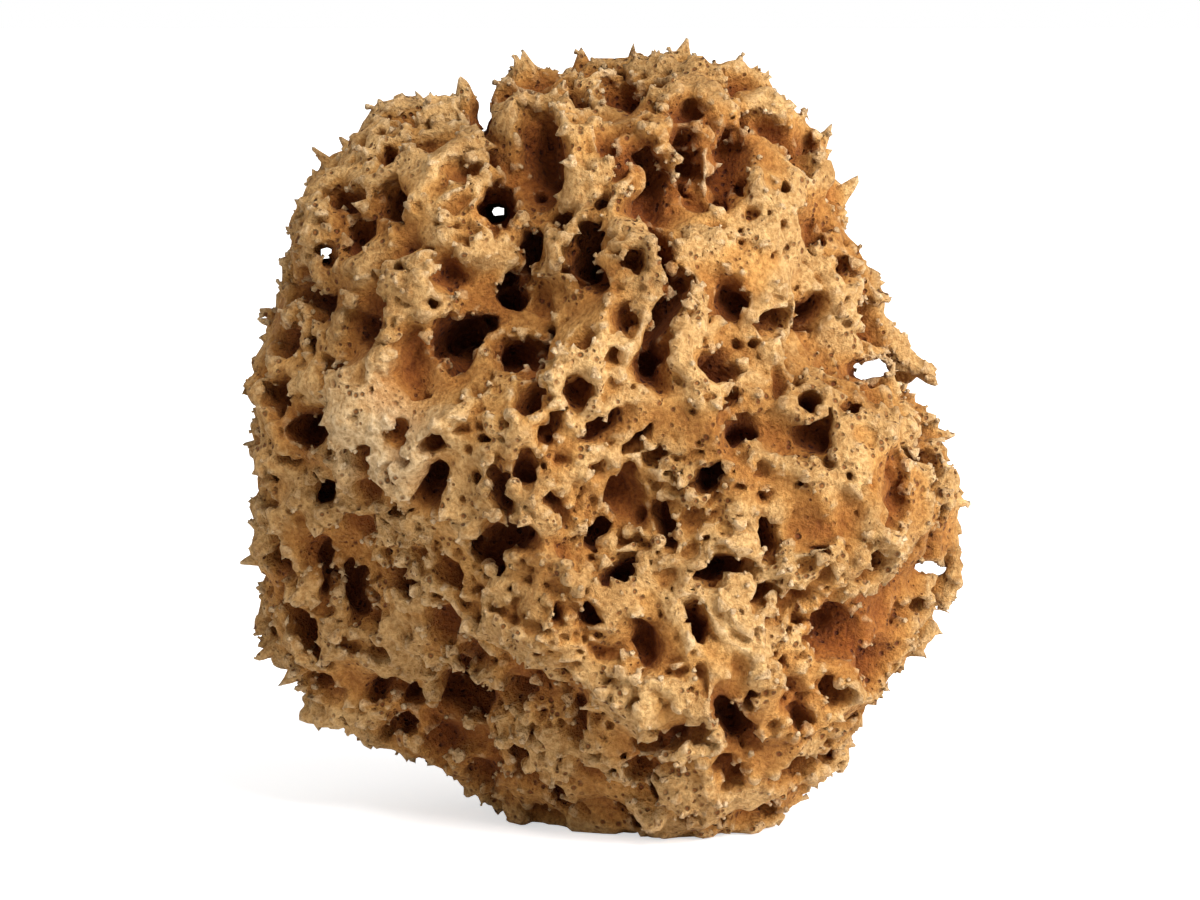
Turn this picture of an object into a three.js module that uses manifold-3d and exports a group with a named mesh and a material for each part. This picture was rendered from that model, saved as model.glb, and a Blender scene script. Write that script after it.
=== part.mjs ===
// A natural sea sponge: one dried, golden-brown skeleton, standing on the flat where it was cut
// from its rock. It grew as one piece, so it is one solid: a rounded, lobed body, hollowed all
// round by pits, pierced by a few tunnels, and bristling with points.
// Millimetres, +Z up, and the front faces -Y. The origin lies on the cut base, under the middle
// of the whole.
import * as THREE from 'three';
import { ImprovedNoise } from 'three/addons/math/ImprovedNoise.js';
import { mergeVertices } from 'three/addons/utils/BufferGeometryUtils.js';
import Module from 'manifold-3d';

const wasm = await Module();
wasm.setup();

// Driving dimensions
const DEPTH = 106; // front to back; the outline below gives the width and the height
const CORE = new THREE.Vector3(0, 0, 72); // the point the body swells from
const BOXINESS = 2.4; // 2 is a plain ellipsoid; more has a flatter front and rounder shoulders
const LOBES = { size: 27, height: 9 }; // broad swellings all over
const FURROWS = { size: 24, depth: 6, width: 0.16 }; // the narrow valleys that wander between them
const BODY_DETAIL = 8; // subdivisions of the ball that the body is drawn out from

// Where the front is seen from: it sets the line on which each front pit is cut.
const VIEW_DISTANCE = 800;
const VIEW_ELEVATION = THREE.MathUtils.degToRad(6);
const VIEW_POINT = new THREE.Vector3(
  -1,
  -VIEW_DISTANCE * Math.cos(VIEW_ELEVATION),
  71 + VIEW_DISTANCE * Math.sin(VIEW_ELEVATION),
);

// The outline of the front view, [x, z], anticlockwise from the top. It dips below z = 0, where
// the base is cut off flat.
const OUTLINE = [
  [0, 145], [-13, 144.5], [-20, 141.5], [-30, 139], [-42, 134], [-52, 126.5],
  [-57.5, 119], [-58.8, 108], [-63, 97], [-66.5, 84], [-67, 70], [-66.5, 56], [-66, 44],
  [-64, 32], [-57, 22], [-43, 14], [-30, 7.5], [-17, -0.5], [0, -5], [20, -5], [33, 0.5],
  [42.5, 9], [50.5, 19.5], [55, 29], [61.5, 37.5], [66.5, 48], [67.8, 58], [65.5, 69],
  [60.5, 79], [55, 91], [50, 104], [45.5, 117], [41.5, 129], [31, 140.5], [15, 146.5],
];

// Valleys that part the lobes of the front: the line of the bottom as [x, z], its half-width, and
// how far it sinks.
const VALLEYS = [
  { line: [[-23, 134], [-13, 120], [-12, 106], [-25, 93]], reach: 9, sink: 8 },
  { line: [[25, 137], [23, 122], [12, 119], [12, 98], [9, 86]], reach: 8, sink: 6 },
  { line: [[9, 86], [0, 76], [4, 62], [-20, 51]], reach: 7, sink: 3.5 },
  { line: [[31, 62], [29, 50], [43, 36]], reach: 7, sink: 3.5 },
  { line: [[28, 26], [26, 14], [27, 0]], reach: 8, sink: 6 },
  { line: [[57, 70], [55, 56], [52, 46]], reach: 7, sink: 4 },
  { line: [[-32, 32], [-26, 20], [-4, 17], [9, 11]], reach: 7, sink: 4 },
];

// The lower left of the front turns away in one broad, flatter face.
const LEAN_NORMAL = new THREE.Vector3(-0.62, -0.5, -0.6).normalize();
const LEAN_LIMIT = 50; // how far the body may reach that way from CORE
const LEAN_SHARE = 0.75; // how much of what passes the limit is pressed back

// The larger pits of the front, [x, z, width, height, lean, depth]: where each mouth is seen, its
// size, the degrees that its top leans to the right, and how deep it goes.
const FRONT_PITS = [
  // upper left lobe
  [-41, 118.5, 6.5, 7.5, 0, 12], [-49.5, 120, 4.5, 8, -15, 9], [-46.5, 112, 10, 6, -60, 7],
  [-32, 128.5, 9, 6.5, 0, 7], [-29, 104, 6.5, 6.5, 35, 7], [-46, 98.5, 9, 9, 0, 4],
  [-61, 92.5, 6, 6, 0, 6], [-36, 87, 9, 11, 20, 4],
  // the cleft and the cavities below it
  [-13.5, 129, 8, 22, -17, 14], [-19.5, 118, 7.5, 9.5, -25, 16], [-3.5, 111, 15, 6, -62, 22],
  [-13.5, 108, 5, 10, 10, 18], [-17, 102, 6, 7, 20, 16], [-26, 92.5, 8, 14, 52, 22],
  [-17, 91, 7, 9, 15, 12], [-12.5, 92.5, 4, 8, 0, 8], [4.5, 106.5, 6.5, 4.5, -60, 9],
  // the crown
  [3.5, 139, 8, 9, 0, 9], [15.5, 137, 5, 8, 45, 9], [24, 127, 9, 19, 10, 10],
  [33.5, 130.5, 6, 14, -48, 8], [9, 121, 6.5, 11, -10, 16], [15.5, 122.5, 8, 6, -45, 14],
  [28, 139, 4, 7, 75, 5],
  // the middle
  [12.5, 108.5, 6.5, 8.5, 0, 18], [12, 98, 7, 15, 22, 13], [11, 90, 6.5, 6, 50, 12],
  [24, 99.5, 6, 7.5, 0, 12], [32, 95.5, 9.5, 5, 0, 9], [-4.5, 102.5, 5.5, 5.5, 0, 11],
  [3.5, 94, 7.5, 5.5, 50, 7], [9.5, 84.5, 9, 7, 40, 7], [-15, 82, 8, 6.5, -50, 9],
  [-5, 83, 6, 7, 0, 7], [-10.3, 76, 4.5, 8, 10, 8], [-0.5, 75.5, 5.5, 9, 55, 8],
  [6.3, 73, 3.5, 8, 60, 11], [4.2, 62, 6, 10, -20, 8], [-13.5, 67, 5.5, 8.5, 0, 7],
  [-18.5, 62.5, 5, 12, -12, 8], [-20.5, 52, 7.5, 16, 68, 14], [-1, 56.2, 4.6, 6.5, 0, 16],
  [11.5, 57, 4.5, 10, -28, 9], [3, 49, 4.5, 8, 35, 12], [19.5, 65.5, 5, 7.5, 50, 15],
  [27, 73.5, 6.5, 6, 25, 10],
  // the left
  [-57, 75.5, 5.5, 6, 20, 15], [-32.8, 64, 5.5, 11.5, 22, 16], [-40.5, 72.5, 7, 4.5, -70, 5],
  [-53, 63.5, 6, 4.5, -50, 9], [-45.5, 62.5, 6, 5.5, -45, 6], [-63.5, 83, 5, 6, 0, 6],
  // the lower left, in shade
  [-53, 48, 4.5, 11, 0, 9], [-48, 44.5, 6, 12, 0, 11], [-57, 35.5, 6, 12, -28, 10],
  [-31, 36.5, 9, 6.5, -60, 5], [-27, 26, 9.5, 12, 10, 18], [-35.5, 22.5, 5.5, 6, -25, 9],
  [-43.5, 23.5, 9, 5.5, -60, 8], [-38.5, 16.5, 7.5, 7, 0, 10], [-29, 14.5, 9.5, 5.5, -80, 9],
  [-56, 25.5, 8, 7, -20, 6], [-17.5, 12.5, 6, 6, 0, 7], [-24, 6, 10, 5, -70, 7],
  // the foot
  [-15.5, 22.5, 7, 7, -30, 9], [-5.5, 18, 11, 4.5, -75, 7], [5, 33, 5.5, 10, -20, 9],
  [10, 14.5, 4.5, 12, 62, 9], [9, 8.5, 7, 7, 0, 8], [25.5, 17, 7.5, 13, -25, 15],
  [16.5, 36, 4.5, 10, 0, 10], [23, 47.5, 4.5, 9, 72, 11], [-10, 3.5, 10, 5, 85, 8],
  [5.5, -0.5, 6, 4.5, 90, 9], [18, 15.5, 6, 4.5, 20, 6],
  // the right
  [29.8, 54, 5, 10, -18, 12], [40.5, 73, 6, 7.5, 45, 9], [51, 94.5, 8, 10, -20, 7],
  [56, 62.5, 7, 14, 0, 7], [52.5, 49.5, 5, 7, -20, 6], [43.5, 36.5, 9.5, 7.5, -20, 11],
  [38.5, 18, 3.5, 9, -15, 6], [32.5, 85, 4, 9, 0, 5], [45, 105, 4, 7, 0, 4],
];

// Tunnels that let daylight through from front to back, [x, z, width, height].
const TUNNELS = [
  [-20.3, 115.8, 4, 3.2], [-52.6, 108.5, 4.4, 3.4], [50.6, 86, 6.4, 4], [61, 48.2, 5, 3],
  [11.8, 6.8, 2.4, 3.4],
];

// The cleft in the crown, [x, z] of its edges as seen, which runs right through too.
const CLEFT = [
  [-29, 147], [-25.6, 139.5], [-25.2, 134], [-23.8, 129.3], [-21.4, 129.3], [-22.1, 133],
  [-20.4, 135.5], [-21.4, 139], [-18.5, 142.5], [-17, 148],
];
const THROUGH_LENGTH = 150;

// Points that stand out of the outline, [x, z] of each tip as seen, and its height.
const OUTLINE_POINTS = [
  [-27.5, 143, 6], [-43, 137.3, 5], [-54.8, 128.5, 4], [-61, 112.5, 4], [-63, 103, 4],
  [-66, 97.4, 4], [-69.2, 71.5, 4], [-69, 49.5, 5], [-67, 31.5, 4], [-62.5, 25, 4],
  [-57, 19.5, 3], [63, 77.5, 4], [67.5, 73.3, 4], [69, 61, 6], [68.5, 51, 3], [48.5, 122.5, 5],
  [43.5, 132.5, 5], [15.5, 149.3, 5], [-4.6, 148, 5], [5, 147.8, 3], [25.5, 145.3, 3],
  [31.5, 143.3, 3], [-15, 146.8, 4], [54.5, 24.5, 3],
];

// The flap that is drawn out to a point on the right.
const FLAP = { root: [48, 0, 93], tip: [63, 0, 82.5], width: 19, thickness: 9 };

// The back, the sides and the crown, which the front list doesn't reach.
const OTHER_PITS = 92; // places spread evenly over the whole body; those on the front are skipped
const FRONT_LIMIT = -0.3; // y of a direction under this is the front's
const BASE_LIMIT = -0.8; // z of a direction under this is the base's
const PIT_WIDTH = [6, 12];
const PIT_STRETCH = [0.75, 1.45];
const PIT_DEPTH = [0.9, 1.9]; // in widths
const OTHER_POINTS = 40;
const POINT_HEIGHT = [2.5, 5];
const POINT_SINK = 2.5; // how far a point's root is sunk in the body

const PIT_SIDES = 6;
const PIT_PROFILE = [[0, -0.3], [1.16, -0.3], [0.86, 0.4], [0, 1]]; // [radius, depth], mouth at 0
const PIT_UNEVENNESS = 0.13; // how far a pit's rim strays from an ellipse, in radii

// A repeatable stream of numbers from 0 to 1.
function randomStream(seed) {
  let state = seed;
  return () => {
    state = (state + 0x6d2b79f5) | 0;
    let mixed = Math.imul(state ^ (state >>> 15), 1 | state);
    mixed = (mixed + Math.imul(mixed ^ (mixed >>> 7), 61 | mixed)) ^ mixed;
    return ((mixed ^ (mixed >>> 14)) >>> 0) / 4294967296;
  };
}
const random = randomStream(11);
const between = ([low, high]) => low + (high - low) * random();

// A closed three.js geometry as a solid.
function solidOf(geometry) {
  const bare = geometry.clone();
  bare.deleteAttribute('normal');
  bare.deleteAttribute('uv');
  const merged = mergeVertices(bare, 1e-4);
  return new wasm.Manifold(new wasm.Mesh({
    numProp: 3,
    vertProperties: new Float32Array(merged.attributes.position.array),
    triVerts: new Uint32Array(merged.index.array),
  }));
}

function geometryOf(solid) {
  const mesh = solid.getMesh();
  const geometry = new THREE.BufferGeometry();
  geometry.setAttribute('position', new THREE.BufferAttribute(mesh.vertProperties, 3));
  geometry.setIndex(new THREE.BufferAttribute(mesh.triVerts, 1));
  return geometry;
}

// The outline's distance from CORE in each direction of the front view.
function outlineRadius() {
  const points = OUTLINE.map(([x, z]) => new THREE.Vector3(x, 0, z));
  const samples = new THREE.CatmullRomCurve3(points, true, 'centripetal')
    .getPoints(OUTLINE.length * 12)
    .map((p) => ({ angle: Math.atan2(p.z - CORE.z, p.x - CORE.x), radius: p.distanceTo(CORE) }))
    .sort((a, b) => a.angle - b.angle);
  return (angle) => {
    const after = samples.findIndex((s) => s.angle > angle);
    const b = samples[after < 0 ? 0 : after];
    const a = samples[after <= 0 ? samples.length - 1 : after - 1];
    const turn = (x) => (x + 4 * Math.PI) % (2 * Math.PI);
    const span = turn(b.angle - a.angle) || 1;
    return THREE.MathUtils.lerp(a.radius, b.radius, turn(angle - a.angle) / span);
  };
}

// How far a point of the front view lies inside a valley, from 0 at its edge to 1 on its line.
function nearValley(x, z, { line, reach }) {
  let nearest = Infinity;
  for (let i = 1; i < line.length; i += 1) {
    const from = new THREE.Vector3(line[i - 1][0], 0, line[i - 1][1]);
    const to = new THREE.Vector3(line[i][0], 0, line[i][1]);
    const point = new THREE.Vector3(x, 0, z);
    const foot = new THREE.Line3(from, to).closestPointToPoint(point, true, new THREE.Vector3());
    nearest = Math.min(nearest, foot.distanceTo(point));
  }
  return nearest >= reach ? 0 : 0.5 + 0.5 * Math.cos((Math.PI * nearest) / reach);
}

// The body before it is pitted: a ball drawn out to the outline, pressed, lobed and furrowed.
function bodyGeometry() {
  const geometry = new THREE.IcosahedronGeometry(1, BODY_DETAIL);
  const radiusAt = outlineRadius();
  const noise = new ImprovedNoise();
  const noiseAt = (p, size, shift) => noise.noise(p.x / size, p.y / size, p.z / size + shift);
  const position = geometry.attributes.position;
  const power = 2 / BOXINESS;
  const point = new THREE.Vector3();
  for (let i = 0; i < position.count; i += 1) {
    const u = new THREE.Vector3().fromBufferAttribute(position, i);
    const flat = Math.hypot(u.x, u.z);
    const radius = radiusAt(Math.atan2(u.z, u.x)) * flat ** power;
    point.set(
      flat > 1e-9 ? (radius * u.x) / flat : 0,
      (DEPTH / 2) * Math.sign(u.y) * Math.abs(u.y) ** power,
      flat > 1e-9 ? (radius * u.z) / flat : 0,
    );
    const turned = Math.min(1, 2 * Math.abs(u.y)); // the outline itself keeps its measured shape
    const past = point.dot(LEAN_NORMAL) - LEAN_LIMIT;
    if (past > 0) point.addScaledVector(LEAN_NORMAL, -past * LEAN_SHARE * turned);
    point.add(CORE);
    const lobe = noiseAt(point, LOBES.size, 5);
    const furrow = Math.max(0, 1 - Math.abs(noiseAt(point, FURROWS.size, 40)) / FURROWS.width);
    point.addScaledVector(u, (LOBES.height * lobe - FURROWS.depth * furrow) * turned);
    if (u.y < 0) {
      for (const valley of VALLEYS) {
        point.y += valley.sink * nearValley(point.x, point.z, valley) * Math.sqrt(turned);
      }
    }
    position.setXYZ(i, point.x, point.y, point.z);
  }
  geometry.computeVertexNormals();
  return geometry;
}

// Turns a shape whose depth runs along its own +Z so that it runs along `inward`, with its own
// +Y leaning `lean` degrees to the right of upright as seen from the front.
function aimed(geometry, at, inward, lean) {
  const tilt = THREE.MathUtils.degToRad(lean);
  const up = new THREE.Vector3(Math.sin(tilt), 0, Math.cos(tilt));
  if (Math.abs(up.dot(inward)) > 0.95) up.set(1, 0, 0);
  const side = new THREE.Vector3().crossVectors(up, inward).normalize();
  up.crossVectors(inward, side);
  const matrix = new THREE.Matrix4().makeBasis(side, up, inward).setPosition(at);
  return geometry.applyMatrix4(matrix);
}

// A hollow that narrows inward, with an uneven mouth of width by height that opens at `at`.
function pitSolid(at, inward, width, height, lean, depth) {
  const profile = PIT_PROFILE.map(([radius, along]) => new THREE.Vector2(radius, along));
  const hollow = new THREE.LatheGeometry(profile, PIT_SIDES).rotateX(Math.PI / 2);
  const [second, third] = [2 * Math.PI * random(), 2 * Math.PI * random()];
  const position = hollow.attributes.position;
  for (let i = 0; i < position.count; i += 1) {
    const angle = Math.atan2(position.getY(i), position.getX(i));
    const uneven = Math.sin(2 * angle + second) + Math.sin(3 * angle + third);
    const stretch = 1 + PIT_UNEVENNESS * uneven;
    position.setXY(i, position.getX(i) * stretch, position.getY(i) * stretch);
  }
  hollow.rotateZ(Math.PI * random()).scale(width / 2, height / 2, depth);
  return solidOf(aimed(hollow, at, inward, lean));
}

// A thorn with a square root sunk in the body, from `root` out to `tip`.
function pointSolid(root, tip, width, thickness) {
  const out = tip.clone().sub(root);
  const thorn = new THREE.ConeGeometry(1, out.length(), 4)
    .rotateX(Math.PI / 2)
    .translate(0, 0, out.length() / 2)
    .scale(width / 2, thickness / 2, 1);
  return solidOf(aimed(thorn, root, out.normalize(), 0));
}

// The first place where a line meets the body, with the body's normal there.
const probe = new THREE.Raycaster();
function strike(body, from, direction) {
  probe.set(from, direction);
  const [hit] = probe.intersectObject(body);
  return hit && { at: hit.point, normal: hit.face.normal.clone(), direction };
}

function strikeFromFront(body, x, z) {
  const direction = new THREE.Vector3(x, 0, z).sub(VIEW_POINT).normalize();
  return strike(body, VIEW_POINT, direction);
}

// Directions spread evenly over a ball, along a golden spiral.
function spreadDirections(count) {
  const golden = Math.PI * (3 - Math.sqrt(5));
  return Array.from({ length: count }, (_, i) => {
    const z = 1 - (2 * i + 1) / count;
    const flat = Math.sqrt(1 - z * z);
    return new THREE.Vector3(flat * Math.cos(i * golden), flat * Math.sin(i * golden), z);
  });
}

const outsideOf = (direction) => CORE.clone().addScaledVector(direction, 200);

function frontPits(body) {
  return FRONT_PITS.flatMap(([x, z, width, height, lean, depth]) => {
    const hit = strikeFromFront(body, x, z);
    if (!hit) return [];
    const inward = hit.direction.clone().sub(hit.normal).normalize();
    return [pitSolid(hit.at, inward, width, height, lean, depth)];
  });
}

// A prism that cuts right through along the line of sight; its shape is drawn around [x, z] of
// the front view.
function throughSolid(shape, x, z) {
  const at = new THREE.Vector3(x, 0, z);
  const prism = new THREE.ExtrudeGeometry(shape, {
    depth: THROUGH_LENGTH,
    bevelEnabled: false,
    curveSegments: 3,
  }).translate(0, 0, -THROUGH_LENGTH / 2);
  return solidOf(aimed(prism, at, VIEW_POINT.clone().sub(at).normalize(), 0));
}

function tunnels() {
  return TUNNELS.map(([x, z, width, height]) => {
    const mouth = new THREE.Shape().absellipse(0, 0, width / 2, height / 2, 0, 2 * Math.PI);
    return throughSolid(mouth, x, z);
  });
}

function cleft() {
  const [[x, z]] = CLEFT;
  const edges = CLEFT.map((corner) => new THREE.Vector2(corner[0] - x, corner[1] - z));
  return throughSolid(new THREE.Shape(edges), x, z);
}

function otherPits(body) {
  return spreadDirections(OTHER_PITS).flatMap((direction) => {
    if (direction.y < FRONT_LIMIT || direction.z < BASE_LIMIT) return [];
    const hit = strike(body, outsideOf(direction), direction.clone().negate());
    if (!hit) return [];
    const wander = new THREE.Vector3(random() - 0.5, random() - 0.5, random() - 0.5);
    const inward = hit.normal.clone().negate().addScaledVector(wander, 0.9).normalize();
    const width = between(PIT_WIDTH);
    const height = width * between(PIT_STRETCH);
    return [pitSolid(hit.at, inward, width, height, 180 * random(), width * between(PIT_DEPTH))];
  });
}

function outlinePoints() {
  return OUTLINE_POINTS.map(([x, z, height]) => {
    const tip = new THREE.Vector3(x, (random() - 0.5) * 10, z);
    const inward = CORE.clone().sub(tip).normalize();
    const root = tip.clone().addScaledVector(inward, height + 2 * POINT_SINK);
    return pointSolid(root, tip, 1.5 * height, 1.2 * height);
  });
}

function otherPoints(body) {
  return spreadDirections(OTHER_POINTS).flatMap((direction) => {
    if (direction.y < FRONT_LIMIT - 0.4 || direction.z < BASE_LIMIT) return [];
    const hit = strike(body, outsideOf(direction), direction.clone().negate());
    if (!hit) return [];
    const height = between(POINT_HEIGHT);
    const wander = new THREE.Vector3(random() - 0.5, random() - 0.5, random() - 0.5);
    const out = hit.normal.clone().addScaledVector(wander, 0.8).normalize();
    const root = hit.at.clone().addScaledVector(out, -POINT_SINK);
    const tip = hit.at.clone().addScaledVector(out, height * 0.7);
    return [pointSolid(root, tip, 1.4 * height, 1.1 * height)];
  });
}

function flap() {
  const root = new THREE.Vector3(...FLAP.root);
  return pointSolid(root, new THREE.Vector3(...FLAP.tip), FLAP.width, FLAP.thickness);
}

// Everything under the base plane.
function groundSolid() {
  return solidOf(new THREE.BoxGeometry(400, 400, 100).translate(0, 0, -50));
}

function spongeGeometry() {
  const geometry = bodyGeometry();
  const body = new THREE.Mesh(geometry);
  const { union } = wasm.Manifold;
  const grown = union([solidOf(geometry), flap(), ...outlinePoints(), ...otherPoints(body)]);
  const hollows = union([...frontPits(body), ...otherPits(body), ...tunnels(), cleft()]);
  const whole = grown.subtract(hollows).subtract(groundSolid());
  // Crumbs that the pits cut loose are dropped.
  const pieces = whole.decompose().sort((a, b) => b.volume() - a.volume());
  return geometryOf(pieces[0]);
}

const spongeMaterial = new THREE.MeshStandardMaterial({
  color: 0xc89a5c,
  roughness: 0.95,
  metalness: 0,
});

const sponge = new THREE.Mesh(spongeGeometry(), spongeMaterial);
sponge.name = 'sponge';
const middle = new THREE.Box3().setFromObject(sponge).getCenter(new THREE.Vector3());
sponge.position.set(-middle.x, -middle.y, 0);

const group = new THREE.Group();
group.add(sponge);

export default group;
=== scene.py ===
import math

import bmesh
import bpy
import numpy as np
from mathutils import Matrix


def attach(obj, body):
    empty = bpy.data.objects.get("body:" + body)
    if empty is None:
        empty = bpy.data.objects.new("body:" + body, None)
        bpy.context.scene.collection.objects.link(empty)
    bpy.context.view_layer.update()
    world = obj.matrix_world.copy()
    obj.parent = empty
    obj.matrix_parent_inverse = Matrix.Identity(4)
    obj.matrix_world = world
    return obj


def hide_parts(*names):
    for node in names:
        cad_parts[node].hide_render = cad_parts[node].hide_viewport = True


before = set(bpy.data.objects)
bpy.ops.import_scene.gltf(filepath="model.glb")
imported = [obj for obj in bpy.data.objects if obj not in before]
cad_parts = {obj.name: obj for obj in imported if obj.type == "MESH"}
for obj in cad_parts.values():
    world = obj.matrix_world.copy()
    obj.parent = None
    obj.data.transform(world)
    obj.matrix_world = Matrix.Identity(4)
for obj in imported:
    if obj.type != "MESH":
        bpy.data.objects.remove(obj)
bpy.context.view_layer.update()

import openvdb
from mathutils import Vector
from mathutils.bvhtree import BVHTree

# The skeleton
# A dried natural sponge: one springy network of fused fibres, grown as a single piece and open to
# water channels all round. It is carved the way they run, one hollow at a time, from a solid of
# its form in a grid of small cells, and then its rims are drawn out into points.
CELL = 0.55  # mm, the size of the grid's cells
BAND = 12  # cells on either side of the surface in which distances are kept
MARGIN = 5  # cells of the grid past the form on each side
MIDDLE = Vector((0, 0, 72))  # mm, the place that the sponge grew out from
rng = np.random.default_rng(7)

form = bmesh.new()
form.from_mesh(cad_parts["sponge"].data)
bmesh.ops.remove_doubles(form, verts=form.verts, dist=1e-6)
bmesh.ops.triangulate(form, faces=form.faces)
bmesh.ops.scale(form, vec=(1000, 1000, 1000), verts=form.verts)
form_points = np.array([v.co for v in form.verts], np.float32)
form_faces = np.array([[v.index for v in f.verts] for f in form.faces], np.uint32)
form.free()

cells = openvdb.createLinearTransform(voxelSize=CELL)
low_cell = np.floor(form_points.min(0) / CELL).astype(int) - MARGIN
high_cell = np.ceil(form_points.max(0) / CELL).astype(int) + MARGIN


def distances(points, **faces):
    """How far each cell of the grid lies outside a closed surface, in mm; less than 0 is inside."""
    grid = openvdb.FloatGrid.createLevelSetFromPolygons(
        points, transform=cells, halfWidth=BAND, **faces)
    field = np.empty(tuple(high_cell - low_cell + 1), np.float32)
    grid.copyToArray(field, ijk=tuple(int(c) for c in low_cell))
    return field


def covering(points, faces, reach):
    """The surface with every hollow narrower than 2 x reach mm bridged over."""
    coarse = openvdb.createLinearTransform(voxelSize=1.0)
    grown = openvdb.FloatGrid.createLevelSetFromPolygons(
        points, triangles=faces, transform=coarse, halfWidth=reach + 2)
    points, _, quads = grown.convertToPolygons(isovalue=reach, adaptivity=0)
    shrunk = openvdb.FloatGrid.createLevelSetFromPolygons(
        points, quads=quads, transform=coarse, halfWidth=reach + 2)
    points, _, quads = shrunk.convertToPolygons(isovalue=-reach, adaptivity=0)
    return points, quads


# The sponge so far: the distance of each cell outside it, which all that follows works on.
sponge = distances(form_points, triangles=form_faces)
cover_points, cover_quads = covering(form_points, form_faces, reach=5)
cover = BVHTree.FromPolygons(cover_points.tolist(), cover_quads[:, ::-1].tolist())
sunk = -distances(cover_points, quads=cover_quads)


def swells(size):
    """A smooth random field over the grid, with bumps about size mm across and a spread of 1."""
    field = rng.standard_normal([int(n * CELL / size) + 5 for n in sponge.shape]).astype(np.float32)
    for axis, count in enumerate(sponge.shape):
        at = np.arange(count) * CELL / size + 1
        first = at.astype(int)
        t = (at - first).astype(np.float32)
        weights = ((1 - t) ** 3, 3 * t**3 - 6 * t**2 + 4, -3 * t**3 + 3 * t**2 + 3 * t + 1, t**3)
        shape = [1, 1, 1]
        shape[axis] = count
        field = sum(np.take(field, first - 1 + k, axis) * (w / 6).reshape(shape)
                    for k, w in enumerate(weights))
    return field / field.std()


def softened(field, radius, times):
    """The field averaged over boxes of radius cells, several times over."""
    width = 2 * radius + 1
    for _ in range(times):
        for axis in range(3):
            pad = [(0, 0)] * 3
            pad[axis] = (radius + 1, radius)
            total = np.cumsum(np.pad(field, pad, mode="edge"), axis, dtype=np.float64)
            ahead = np.take(total, np.arange(width, total.shape[axis]), axis)
            behind = np.take(total, np.arange(0, total.shape[axis] - width), axis)
            field = ((ahead - behind) / width).astype(np.float32)
    return field


def read(field, places):
    """The field's values at places given in cells, blended between the cells around each."""
    limit = np.array(field.shape, np.float32) - 1.001
    places = np.clip(places, 0, limit[:, None])
    first = places.astype(np.int32)
    part = places - first
    value = np.zeros(places.shape[1], np.float32)
    for corner in np.ndindex(2, 2, 2):
        weight = np.ones(places.shape[1], np.float32)
        for axis in range(3):
            weight *= part[axis] if corner[axis] else 1 - part[axis]
        value += weight * field[tuple(first[axis] + corner[axis] for axis in range(3))]
    return value


def read_at(field, at):
    """The field's value at one place, given in mm."""
    return read(field, np.array([at]).T / CELL - low_cell[:, None])[0]


def around(at, reach):
    """The part of the grid within reach mm of a point, and how far each of its cells lies off."""
    start = np.floor((np.array(at) - reach) / CELL).astype(int) - low_cell
    stop = np.ceil((np.array(at) + reach) / CELL).astype(int) - low_cell
    start = np.clip(start, 0, sponge.shape)
    stop = np.clip(stop, start, sponge.shape)
    box = tuple(slice(a, b) for a, b in zip(start, stop))
    lines = [np.arange(a, b, dtype=np.float32) * CELL - c
             for a, b, c in zip(start + low_cell, stop + low_cell, at)]
    return box, np.meshgrid(*lines, indexing="ij")


# Crests 1.2 mm high run over the whole form, 8 mm or so apart, with shallow dips between them.
sponge += 1.7 * np.abs(swells(8)) - 1.2

# Where the outline stands out or draws in more than the solid's does: the place of each swelling
# in the front view, its reach and how far it pushes the skin out, in mm.
SWELLINGS = [
    (-36, 137, 7, 0.6), (-49, 132, 5, -0.8), (-66, 62, 10, -0.4), (-67, 45, 6, -0.6), (-62, 27, 6, 3.4),
    (-47, 17, 5, 1.8), (-27, 7, 7, 1.4), (-62, 106, 8, -2.0), (-8, 147, 6, -1.6), (24, 146, 6, -1.8),
    (34, 141, 6, -1.8), (42, 132, 5, -2.0), (46, 121, 6, -2.2), (48, 111, 5, -1.4), (54, 96, 5, -1.0),
    (66, 72, 5, -2.2), (68, 53, 7, -1.6), (56, 26, 7, -3.2), (37, 5, 7, -2.4),
]
grid_x, grid_z = ((np.arange(sponge.shape[axis]) + low_cell[axis]) * CELL for axis in (0, 2))
for x, z, reach, push in SWELLINGS:
    share = np.exp(-((grid_x[:, None] - x) ** 2 + (grid_z[None, :] - z) ** 2) / reach**2)
    sponge -= (push * share).astype(np.float32)[:, None, :]

# How far the walls of the hollows and the spurs stray from smooth ones, before it is scaled.
ragged = 0.7 * swells(3) + 0.5 * swells(1.4)


def carve(at, inward, width, height, lean, depth, flare, rough):
    """Hollows out a rounded pit whose mouth, width by height mm, opens out over flare mm.

    Its top leans lean degrees to the right, and its walls stray by rough times the ragged field.
    """
    tilt = math.radians(lean)
    up = Vector((math.sin(tilt), 0, math.cos(tilt)))
    if abs(up.dot(inward)) > 0.95:
        up = Vector((1, 0, 0))
    side = up.cross(inward).normalized()
    up = inward.cross(side)
    box, (x, y, z) = around(at + inward * depth * 0.5, depth * 0.5 + max(width, height) * 0.6 + 1.5)
    if not x.size:
        return
    narrow = min(width, height) / 2
    depths = (x * inward.x + y * inward.y + z * inward.z) + depth * 0.5
    across = (x * side.x + y * side.y + z * side.z) / (width / 2)
    upward = (x * up.x + y * up.y + z * up.z) / (height / 2)
    wall = np.sqrt(np.clip(1 - (np.maximum(depths, 0) / depth) ** 2, 0, 1))
    wall += 0.55 * np.maximum(flare - depths, 0) / narrow
    hollow = (wall - np.hypot(across, upward)) * narrow + ragged[box] * rough
    hollow[depths > depth] = -1
    np.maximum(sponge[box], hollow, out=sponge[box])


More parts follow.
